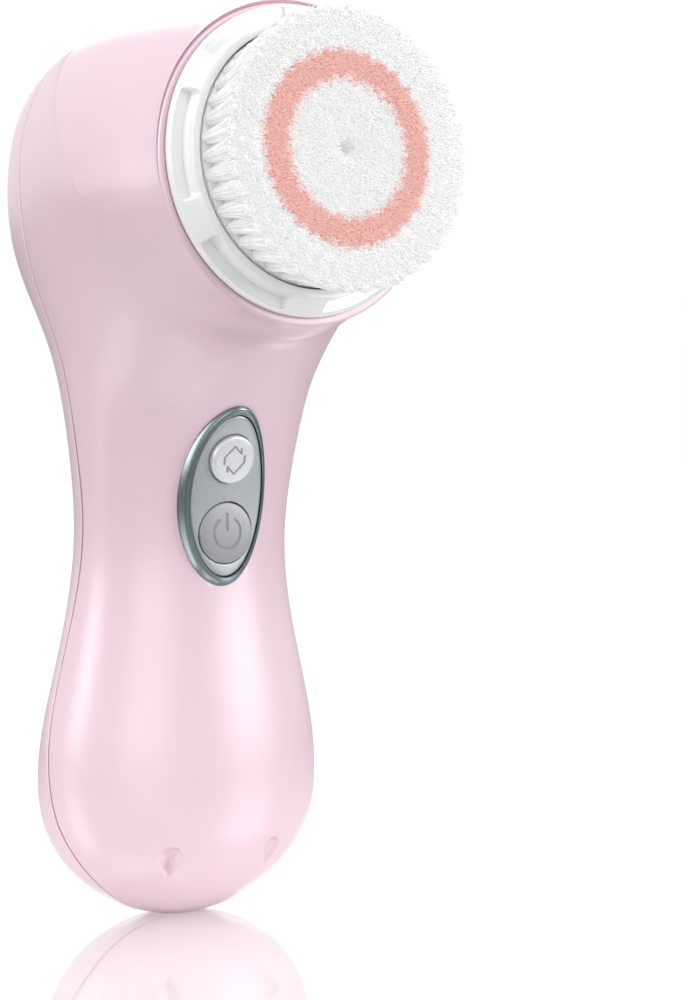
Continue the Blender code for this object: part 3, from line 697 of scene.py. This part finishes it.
def panel_bezel():
    """The sloping oval wall round the plate: it climbs out of the casing and rolls over at its crest."""
    count = 256
    inner = (PLATE_HALF[0] + 0.10, PLATE_HALF[1] + 0.10)
    outer = (PANEL_HALF[0] - 0.15, PANEL_HALF[1] - 0.15)
    # share of the way in from the outer oval, share of the climb to the plate's level, extra depth
    profile = [(0.0, 0.0, 1.3), (0.0, 0.0, 0.12), (0.03, 0.03, 0.0)]
    profile += [(0.03 + 0.75 * k / 10, 0.05 + 0.93 * math.sin(math.pi / 2 * k / 10) ** 0.9, 0.0) for k in range(1, 11)]
    profile += [(0.86, 1.06, 0.0), (0.93, 1.08, 0.0), (0.98, 1.03, 0.0), (1.0, 0.92, 0.0), (1.0, 0.5, 0.0),
                (1.0, 0.0, 1.3)]
    across, up = np.sin(full_turn(count)), np.cos(full_turn(count))
    low = 0.02 + np.array([surface_at(outer[0] * x, PANEL_Z + outer[1] * z) for x, z in zip(across, up)])
    rows = []
    for share, climb, sunk in profile:
        x = (outer[0] + (inner[0] - outer[0]) * share) * across
        z = PANEL_Z + (outer[1] + (inner[1] - outer[1]) * share) * up
        rows.append(np.stack((x, low + (plate_y(x, z) - low) * climb + sunk, z), axis=1))
    piece("bezel", np.concatenate(rows), grid_faces(len(rows), count, wrap_columns=True, wrap_rows=True), BEZEL,
          "handle", ("panel_bezel",), "grey_trim")


def drilled(thing, holes, bevel):
    """Cut round holes (place, direction, radius) through a piece and ease their edges."""
    cutters = []
    for place, direction, radius in holes:
        bm = bmesh.new()
        bmesh.ops.create_cone(bm, cap_ends=True, segments=128, radius1=radius * MM, radius2=radius * MM,
                              depth=12.0 * MM)
        mesh = bpy.data.meshes.new("drill")
        bm.to_mesh(mesh)
        bm.free()
        cutter = bpy.data.objects.new("drill", mesh)
        cutter.matrix_world = (Matrix.Translation(Vector(place) * MM)
                               @ Vector(direction).to_track_quat("Z", "Y").to_matrix().to_4x4())
        bpy.context.scene.collection.objects.link(cutter)
        cut = thing.modifiers.new("hole", "BOOLEAN")
        cut.operation = "DIFFERENCE"
        cut.solver = "EXACT"
        cut.object = cutter
        cutters.append(cutter)
    ease = thing.modifiers.new("ease", "BEVEL")
    ease.width = bevel * MM
    ease.segments = 2
    ease.limit_method = "ANGLE"
    ease.angle_limit = math.radians(50.0)
    bpy.context.view_layer.update()
    made = bpy.data.meshes.new_from_object(thing.evaluated_get(bpy.context.evaluated_depsgraph_get()))
    made.shade_smooth()
    made.set_sharp_from_angle(angle=math.radians(35.0))
    thing.modifiers.clear()
    thing.data = made
    for cutter in cutters:
        bpy.data.objects.remove(cutter, do_unlink=True)


power_place = np.array((0.0, front_y(POWER_Z) - PLATE_PROUD, POWER_Z))
mode_place = np.array((0.0, front_y(MODE_Z) - PLATE_PROUD, MODE_Z))
power_out = np.array((0.0, -1.0, 0.0))
mode_out = np.array((0.0, -math.cos(math.radians(MODE_TILT)), -math.sin(math.radians(MODE_TILT))))


def panel_plate():
    """The silver plate, curved with the handle's waist, with eased edges and the two button holes."""
    count = 256
    rows = []
    # share of the outline, depth behind the face
    profile = [(0.0005, 1.5), (0.4, 1.5), (0.8, 1.5), (1.0, 1.5), (1.0, 0.42), (0.993, 0.22), (0.978, 0.09),
               (0.955, 0.02), (0.93, 0.0)]
    profile += [(share, 0.0) for share in np.linspace(0.9, 0.02, 34)] + [(0.0005, 0.0)]
    for share, behind in profile:
        x = PLATE_HALF[0] * share * np.sin(full_turn(count))
        z = PANEL_Z + PLATE_HALF[1] * share * np.cos(full_turn(count))
        rows.append(np.stack((x, plate_y(x, z) + behind, z), axis=1))
    faces = grid_faces(len(rows), count, wrap_columns=True) + end_caps(len(rows), count)
    made = piece("plate", np.concatenate(rows), faces, SILVER, "handle", ("panel_plate",), "silver")
    drilled(made, [(power_place, power_out, POWER_RADIUS + BUTTON_GAP),
                   (mode_place, mode_out, MODE_RADIUS + BUTTON_GAP)], 0.09)


def near_segment(x, y, start, end):
    """Distance from points to a line from start to end."""
    reach = np.array(end) - np.array(start)
    share = np.clip(((x - start[0]) * reach[0] + (y - start[1]) * reach[1]) / (reach @ reach), 0.0, 1.0)
    return np.hypot(x - start[0] - share * reach[0], y - start[1] - share * reach[1])


def standby_mark(x, y):
    """Distance from the centre lines of the standby mark: an arc open at the top and a short bar."""
    radius, opening = 2.35, math.radians(38.0)
    angle = np.abs(np.arctan2(x, y))
    arc = np.abs(np.hypot(x, y) - radius)
    end = np.hypot(np.abs(x) - radius * math.sin(opening), y - radius * math.cos(opening))
    return np.minimum(np.where(angle > opening, arc, end), near_segment(x, y, (0.0, 0.5), (0.0, 2.75)))


def cycle_mark(x, y):
    """Distance from the centre lines of the mode mark: two chevrons, each ending in an arrow's barb."""
    lines = []
    for side in (-1, 1):
        flip = (side * x, side * y)
        lines.append(near_segment(*flip, (-1.75, -0.55), (-1.75, 0.45)))
        lines.append(near_segment(*flip, (-1.75, 0.45), (-0.1, 2.1)))
        lines.append(near_segment(*flip, (-0.1, 2.1), (1.1, 0.95)))
        lines.append(near_segment(*flip, (1.1, 0.95), (1.05, 1.75)))
    return np.minimum.reduce(lines)


def button(name, place, out, outline, mark, finish, node, body):
    """A pressed button: its dome and rim turned from an outline, with a mark sunk into the face."""
    columns = 224
    radii, heights = np.array(polyline(outline, 0.06, 2)).T
    turn = full_turn(columns)
    x = np.multiply.outer(radii, np.sin(turn))
    y = np.multiply.outer(radii, np.cos(turn))
    distance = mark(x, y)
    on_face = (radii < outline[-1][0] - 0.5)[:, None]
    groove = np.where(on_face, 1.0 - smooth(0.12, 0.24, distance), 0.0)
    height = heights[:, None] - MARK_DEPTH * groove
    across = np.array((1.0, 0.0, 0.0))
    upward = np.cross(out, across)
    points = (place + np.multiply.outer(x, across) + np.multiply.outer(y, upward)
              + np.multiply.outer(height, out)).reshape(-1, 3)
    faces = grid_faces(len(radii), columns, wrap_columns=True) + end_caps(len(radii), columns)
    made = piece(name, points, faces, finish, body, (node,), "silver", smooth_angle=50.0)
    # faces inside the grooves take the darker grey, which is painted shade
    made.data.materials.append(GROOVE_SHADE)
    for polygon in made.data.polygons:
        offset = np.array(polygon.center) / MM - place
        x, y = offset @ across, offset @ upward
        if offset @ out > -0.1 and math.hypot(x, y) < outline[-1][0] - 0.5 and mark(x, y) < 0.15:
            polygon.material_index = 1


def domed(radius, crown, edge, rim, skirt):
    """Outline of a button from its middle outwards: a dome, a rounded rim and a straight skirt."""
    face = [(radius * share, crown + (edge - crown) * share ** 2) for share in (0.001, 0.2, 0.4, 0.6, 0.8)]
    flat_end = radius - rim
    face.append((flat_end, edge))
    turn = [(flat_end + rim * math.sin(angle), edge - rim * (1.0 - math.cos(angle)))
            for angle in np.linspace(0.2, math.pi / 2, 7)]
    return face + turn + [(radius, skirt)]


panel_bezel()
panel_plate()
# the power cap's darker silver is painted shade and the mode cap's lighter silver is painted highlight
button("power_cap", power_place, power_out, domed(POWER_RADIUS, 0.40, 0.20, 0.35, -2.4), standby_mark, POWER_SILVER_PAINTED_SHADE,
       "power_button", "power_button")
button("mode_cap", mode_place, mode_out, domed(MODE_RADIUS, 1.0, 0.92, 0.50, -2.6), cycle_mark, MODE_SILVER_PAINTED_HIGHLIGHT,
       "mode_button", "mode_button")


# ---- brush head --------------------------------------------------------------
POCKET_COUNT, POCKET_HALF, POCKET_START = 6, 21.5, 54.0
LUG_ANGLES = (90.0, 210.0, 330.0)


def lathe(name, outline, columns, finish, body, replaces, slot, sink=None, closed=True, smooth_angle=40.0):
    """Turn an outline of (radius, height) about the brush axis; sink(radius, angle) lowers its upward faces."""
    radii, heights = np.array(outline).T
    turn = full_turn(columns)
    height = np.repeat(heights[:, None], columns, axis=1)
    if sink:
        height = sink(radii[:, None], turn[None, :], height)
    points = head_points(np.multiply.outer(radii, np.cos(turn)), np.multiply.outer(radii, np.sin(turn)), height)
    faces = grid_faces(len(outline), columns, wrap_columns=True, wrap_rows=closed)
    if not closed:
        faces += end_caps(len(outline), columns)
    return piece(name, points.reshape(-1, 3), faces, finish, body, replaces, slot, smooth_angle)


def rounded_pocket(radius, turn):
    """1 inside the six finger pockets of the ring, 0 outside, with rounded corners and steep walls."""
    step = 2 * math.pi / POCKET_COUNT
    offset = np.mod(turn - math.radians(POCKET_START) + step / 2, step) - step / 2
    across = np.abs(radius - 21.24) - (0.96 - 0.55)
    around = np.abs(offset) * radius - (math.radians(POCKET_HALF) * radius - 0.55)
    distance = np.hypot(np.maximum(across, 0.0), np.maximum(around, 0.0)) + np.minimum(np.maximum(across, around), 0.0)
    return 1.0 - smooth(0.42, 0.62, distance)


def ring_sink(radius, turn, height):
    """Sink the finger pockets into the slope."""
    pocket = rounded_pocket(radius, turn)
    return np.where(height > 0.45, height + (0.5 - height) * pocket, height)


def retainer_ring():
    """The clear ring: outer lip, slope with six pockets, ridge, and the skirt that carries the lugs."""
    corners = [(20.5, -0.6), (22.4, -0.6), (22.54, -0.52), (22.6, -0.4), (22.6, 0.15), (22.54, 0.36), (22.38, 0.55)]
    slope = polyline([(22.38, 0.55), (22.1, 0.86), (20.75, 2.62)], 0.085)
    ridge = [(20.6, 2.8), (20.4, 2.96), (20.15, 3.07), (19.8, 3.1), (19.4, 3.1), (19.15, 3.04), (18.97, 2.9),
             (18.9, 2.7)]
    skirt = [(18.9, 1.0), (18.9, -3.0), (18.9, -5.85), (19.05, -6.0), (20.35, -6.0), (20.5, -5.85), (20.5, -3.0)]
    return lathe("ring", corners[:-1] + slope + ridge + skirt, 720, CLEAR, "retainer", ("retainer_ring",), "clear",
                 ring_sink, smooth_angle=60.0)


def ring_lug(number, angle):
    """A bayonet lug on the ring's skirt."""
    steps = 10
    rows = []
    for step in range(steps + 1):
        turn = math.radians(angle - 6.0 + 12.0 * step / steps)
        ease = 0.25 if step in (0, steps) else 0.0
        outline = ((20.3, -5.5), (21.15 - ease, -5.5), (21.3 - ease, -5.35), (21.3 - ease, -4.35), (21.15 - ease, -4.2),
                   (20.3, -4.2))
        rows.append([head_points(r * math.cos(turn), r * math.sin(turn), h) for r, h in outline])
    count = len(rows[0])
    faces = grid_faces(len(rows), count, wrap_columns=True) + end_caps(len(rows), count)
    return piece(f"ring_lug_{number}", np.array(rows).reshape(-1, 3), faces, CLEAR, "retainer", (), "clear")


retainer_ring()
for number, angle in enumerate(LUG_ANGLES, 1):
    ring_lug(number, angle)

TUFT_ROWS = {
    # radius at the root, radius at the tips, tufts, turn of the first
    "outer": ((17.75, 18.95, 42, 0.0), (16.35, 17.3, 38, 0.5), (15.05, 15.3, 34, 0.0)),
    "pink": ((12.75, 12.95, 30, 0.0), (10.85, 10.85, 26, 0.5)),
    "white": ((8.95, 8.95, 22, 0.0), (7.2, 7.2, 18, 0.5), (5.45, 5.2, 13, 0.0), (3.75, 2.75, 9, 0.5)),
}


ROOT_SPREAD = 0.84  # radius of a tuft where it leaves its hole
FLARE = 1.3  # how late a tuft opens out


def tuft_places(rows):
    """Root and tip places of every tuft of a band, in the plane of the brush."""
    places = []
    for root, tip, count, first in rows:
        for step in range(count):
            turn = 2 * math.pi * (step + first) / count
            places.append((root * math.cos(turn), root * math.sin(turn), tip * math.cos(turn), tip * math.sin(turn)))
    return places


def tufts(name, rows, base, spread_to, stray, finish, body, node, seed, filaments):
    """Bundles of tapering nylon filaments that fan out from their holes."""
    chance = np.random.default_rng(seed)
    points, faces = [], []
    start = 0
    corners = np.array([[math.cos(2 * math.pi * k / 3), math.sin(2 * math.pi * k / 3)] for k in range(3)])
    for root_x, root_y, tip_x, tip_y in tuft_places(rows):
        radius = np.sqrt(chance.random(filaments))
        turn = chance.random(filaments) * 2 * math.pi
        spot = np.stack((radius * np.cos(turn), radius * np.sin(turn)), axis=1)
        lean = chance.normal(0.0, stray, (filaments, 2))
        top = TIP_HEIGHT - 0.10 - 0.06 * radius ** 2 + chance.normal(0.0, 0.06, filaments)
        top = np.minimum(top, TIP_HEIGHT + 0.1)
        thick = 0.14 + 0.02 * chance.random(filaments)
        twist = chance.random(filaments) * 2 * math.pi
        for share, width in ((0.0, 1.0), (0.55, 0.95), (1.0, 0.62)):
            flare = share ** FLARE
            reach = ROOT_SPREAD + (spread_to - ROOT_SPREAD) * flare
            x = root_x + (tip_x - root_x) * flare + spot[:, 0] * reach + lean[:, 0] * flare
            y = root_y + (tip_y - root_y) * flare + spot[:, 1] * reach + lean[:, 1] * flare
            height = base + (top - base) * share
            for corner in corners:
                turned = (corner[0] * np.cos(twist) - corner[1] * np.sin(twist),
                          corner[0] * np.sin(twist) + corner[1] * np.cos(twist))
                points.append(head_points(x + turned[0] * thick * width, y + turned[1] * thick * width, height))
        for filament in range(filaments):
            at = [start + layer * filaments + filament for layer in range(9)]
            for ring in (0, 3):
                for k in range(3):
                    faces.append((at[ring + k], at[ring + (k + 1) % 3], at[ring + 3 + (k + 1) % 3], at[ring + 3 + k]))
            faces.append((at[6], at[7], at[8]))
            faces.append((at[2], at[1], at[0]))
        start += 9 * filaments
    mesh = bpy.data.meshes.new(name)
    mesh.from_pydata((np.concatenate(points) * MM).tolist(), [], faces)
    mesh.shade_smooth()
    mesh.materials.append(finish)
    made = bpy.data.objects.new(name, mesh)
    bpy.context.scene.collection.objects.link(made)
    settle(made, body, (node,))
    return made


def rings(places, count, wrap):
    """Points and faces of one shape per place: rings of (x, up, radius, out) joined in order."""
    points, faces = [], []
    turn = full_turn(count)
    for place in places:
        start = len(points) * count
        points.extend(head_points(x + radius * np.cos(turn), up + radius * np.sin(turn), out)
                      for x, up, radius, out in place)
        made = grid_faces(len(place), count, wrap_columns=True, wrap_rows=wrap)
        faces.extend(tuple(start + corner for corner in face)
                     for face in made + ([] if wrap else end_caps(len(place), count)))
    return np.concatenate(points), faces


def tuft_cores(name, rows, base, top, spread_to, finish, body, slot):
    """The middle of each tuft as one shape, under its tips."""
    shape = ((0.0, 0.76), (0.5, 0.92), (1.0, spread_to))  # share of the height, radius
    places = [[(root_x + (tip_x - root_x) * share ** FLARE, root_y + (tip_y - root_y) * share ** FLARE, radius,
                base + (top - base) * share) for share, radius in shape]
              for root_x, root_y, tip_x, tip_y in tuft_places(rows)]
    return piece(name, *rings(places, 10, False), finish, body, (), slot, smooth_angle=60.0)


def tuft_collars(name, rows, level, finish, body, slot):
    """A low moulded collar round each tuft's hole."""
    outline = ((1.02, -0.15), (1.00, 0.06), (0.97, 0.12), (0.92, 0.12), (0.88, 0.05), (0.88, -0.15))
    places = [[(x, up, radius, level + height) for radius, height in outline] for x, up, _, _ in tuft_places(rows)]
    return piece(name, *rings(places, 20, True), finish, body, (), slot, smooth_angle=60.0)


def brush():
    """Carrier, disc and every tuft."""
    carrier = [(14.3, 1.4), (17.2, 1.4), (17.2, -7.45), (17.35, -7.6), (20.35, -7.6), (20.5, -7.45), (20.5, -6.45),
               (20.35, -6.3), (18.7, -6.3), (18.6, -6.2), (18.6, 2.75), (18.5, 2.98), (18.25, 3.1), (14.5, 3.1),
               (14.36, 3.03), (14.3, 2.9)]
    lathe("carrier", polyline(carrier + carrier[:1], 0.8)[:-1], 256, CARRIER, "outer_brush",
          ("outer_tuft_carrier",), "clear")
    disc = [(0.001, 2.9), (13.3, 2.9), (13.55, 2.82), (13.68, 2.6), (13.7, 1.3), (13.6, 1.2), (5.7, 1.2), (5.5, 1.0),
            (5.5, -6.1), (5.3, -6.3), (3.7, -6.3), (3.7, -0.1), (0.001, -0.1)]
    lathe("disc", polyline(disc, 0.8), 256, WHITE_PLASTIC, "inner_brush", ("inner_tuft_disc",), "white_plastic",
          closed=False)
    tuft_collars("outer_collars", TUFT_ROWS["outer"], 3.1, CARRIER, "outer_brush", "clear")
    tuft_collars("inner_collars", TUFT_ROWS["pink"] + TUFT_ROWS["white"], 2.9, WHITE_PLASTIC, "inner_brush",
                 "white_plastic")
    for number, row in enumerate(TUFT_ROWS["outer"], 1):
        tufts(f"outer_tufts_{number}", (row,), 3.0, 1.70, 0.16, WHITE_FILAMENT, "outer_brush", "outer_bristles",
              number, 170)
    tuft_cores("outer_tuft_cores", TUFT_ROWS["outer"], 3.0, 11.45, 1.20, WHITE_FILAMENT, "outer_brush",
               "white_filament")
    tufts("pink_tufts", TUFT_ROWS["pink"], 2.85, 1.50, 0.28, PINK_FILAMENT, "inner_brush", "pink_bristles",
          11, 190)
    tuft_cores("pink_tuft_cores", TUFT_ROWS["pink"], 2.85, 11.4, 1.05, PINK_FILAMENT, "inner_brush", "pink_filament")
    tufts("white_tufts", TUFT_ROWS["white"], 2.85, 1.55, 0.20, WHITE_FILAMENT, "inner_brush", "white_bristles",
          12, 190)
    tuft_cores("white_tuft_cores", TUFT_ROWS["white"], 2.85, 11.4, 1.15, WHITE_FILAMENT, "inner_brush",
               "white_filament")


brush()


# ---- studio ------------------------------------------------------------------
def camera():
    """Long lens at the photographed angle: from the front left, a little above."""
    turn, rise = math.radians(35.08), math.radians(4.41)
    back = Vector((-math.sin(turn) * math.cos(rise), -math.cos(turn) * math.cos(rise), math.sin(rise)))
    right = Vector((math.cos(turn), -math.sin(turn), 0.0))
    up = back.cross(right)
    aim = Vector((0.0, 0.0, 0.0567)) + right * 0.02531 + up * 0.0058
    data = bpy.data.cameras.new("camera")
    data.sensor_width = 36.0
    data.lens = 142.72
    data.clip_start = 0.01
    made = bpy.data.objects.new("camera", data)
    rotation = Matrix((right, up, back)).transposed().to_4x4()
    made.matrix_world = Matrix.Translation(aim + back * 0.6) @ rotation
    bpy.context.scene.collection.objects.link(made)
    bpy.context.scene.camera = made


def area_light(name, place, aim, size, power):
    """A soft box at a place, turned to a point."""
    data = bpy.data.lights.new(name, "AREA")
    data.shape = "RECTANGLE"
    data.size, data.size_y = size
    data.energy = power
    made = bpy.data.objects.new(name, data)
    made.location = place
    made.rotation_euler = (Vector(aim) - Vector(place)).to_track_quat("-Z", "Y").to_euler()
    bpy.context.scene.collection.objects.link(made)


def mirror_floor():
    """A white floor that reads as the surround: a little diffuse, and a mirror that fades away from the foot."""
    mesh = bpy.data.meshes.new("floor")
    mesh.from_pydata([(-3.0, -3.0, 0.0), (3.0, -3.0, 0.0), (3.0, 3.0, 0.0), (-3.0, 3.0, 0.0)], [], [(0, 1, 2, 3)])
    floor = bpy.data.objects.new("floor", mesh)
    floor.location.z = -0.0001
    bpy.context.scene.collection.objects.link(floor)
    finish = bpy.data.materials.new("pale_floor")
    finish.use_nodes = True
    tree = finish.node_tree
    tree.nodes.clear()
    place = add_node(tree, "TexCoord", {}).outputs["Object"]
    reach = add_node(tree, "VectorMath", {0: place}, operation="LENGTH").outputs["Value"]
    fade = add_node(tree, "MapRange", {"From Min": 0.0, "From Max": FLOOR_REACH, "To Min": FLOOR_MIRROR,
                                       "To Max": 0.0, "Value": reach},
                    interpolation_type="SMOOTHSTEP").outputs["Result"]
    rest = add_node(tree, "Math", {0: fade, 1: -SEEN, 2: FLOOR_SEEN}, operation="MULTIPLY_ADD").outputs["Value"]
    by_camera = add_node(tree, "LightPath", {}).outputs["Is Camera Ray"]
    glow = add_node(tree, "MapRange", {"To Min": FLOOR_LIGHT, "Value": by_camera, "To Max": rest}).outputs["Result"]
    shares = (add_node(tree, "BsdfGlossy", {"Roughness": 0.06, "Color": fade}),
              add_node(tree, "BsdfDiffuse", {"Color": (0.10, 0.10, 0.10, 1.0)}),
              add_node(tree, "Emission", {"Strength": glow}))
    total = shares[0].outputs[0]
    for share in shares[1:]:
        total = add_node(tree, "AddShader", {0: total, 1: share.outputs[0]}).outputs[0]
    add_node(tree, "OutputMaterial", {"Surface": total})
    mesh.materials.append(finish)


def studio():
    """A white surround, and soft boxes left, right, in front, above and behind."""
    world = bpy.data.worlds.new("studio")
    world.use_nodes = True
    tree = world.node_tree
    rays = add_node(tree, "LightPath", {}).outputs
    direct = add_node(tree, "Math", {0: rays["Is Camera Ray"], 1: rays["Is Glossy Ray"]}, operation="MAXIMUM")
    level = add_node(tree, "MapRange", {"To Min": SURROUND, "To Max": SEEN, "Value": direct.outputs["Value"]})
    sky = tree.nodes["Background"].inputs
    sky["Color"].default_value = (1.0, 1.0, 1.0, 1.0)
    tree.links.new(level.outputs["Result"], sky["Strength"])
    bpy.context.scene.world = world
    aim = (0.0, -0.01, 0.07)
    area_light("right_box", (0.56, -0.58, 0.24), aim, (0.40, 0.60), 3.3)
    area_light("front_box", (-0.30, -0.72, 0.10), (0.0, -0.02, 0.10), (0.50, 0.30), 0.95)
    area_light("left_box", (-0.66, 0.04, 0.38), (0.0, -0.02, 0.10), (0.30, 0.60), 2.4)
    area_light("top_box", (-0.10, -0.25, 0.80), aim, (0.60, 0.50), 2.1)
    area_light("back_box", (0.45, 0.60, 0.40), aim, (0.50, 0.50), 1.6)
    bpy.context.scene.view_settings.view_transform = "Standard"


mirror_floor()
camera()
studio()

# ---- close -------------------------------------------------------------------
for node, thing in frame["nodes"].items():
    slot_name = next(row["material_slot"] for row in frame["record"]["subparts"] if row["node"] == node)
    if slot_name in CAD_FINISH:
        thing.data.materials.clear()
        thing.data.materials.append(CAD_FINISH[slot_name])
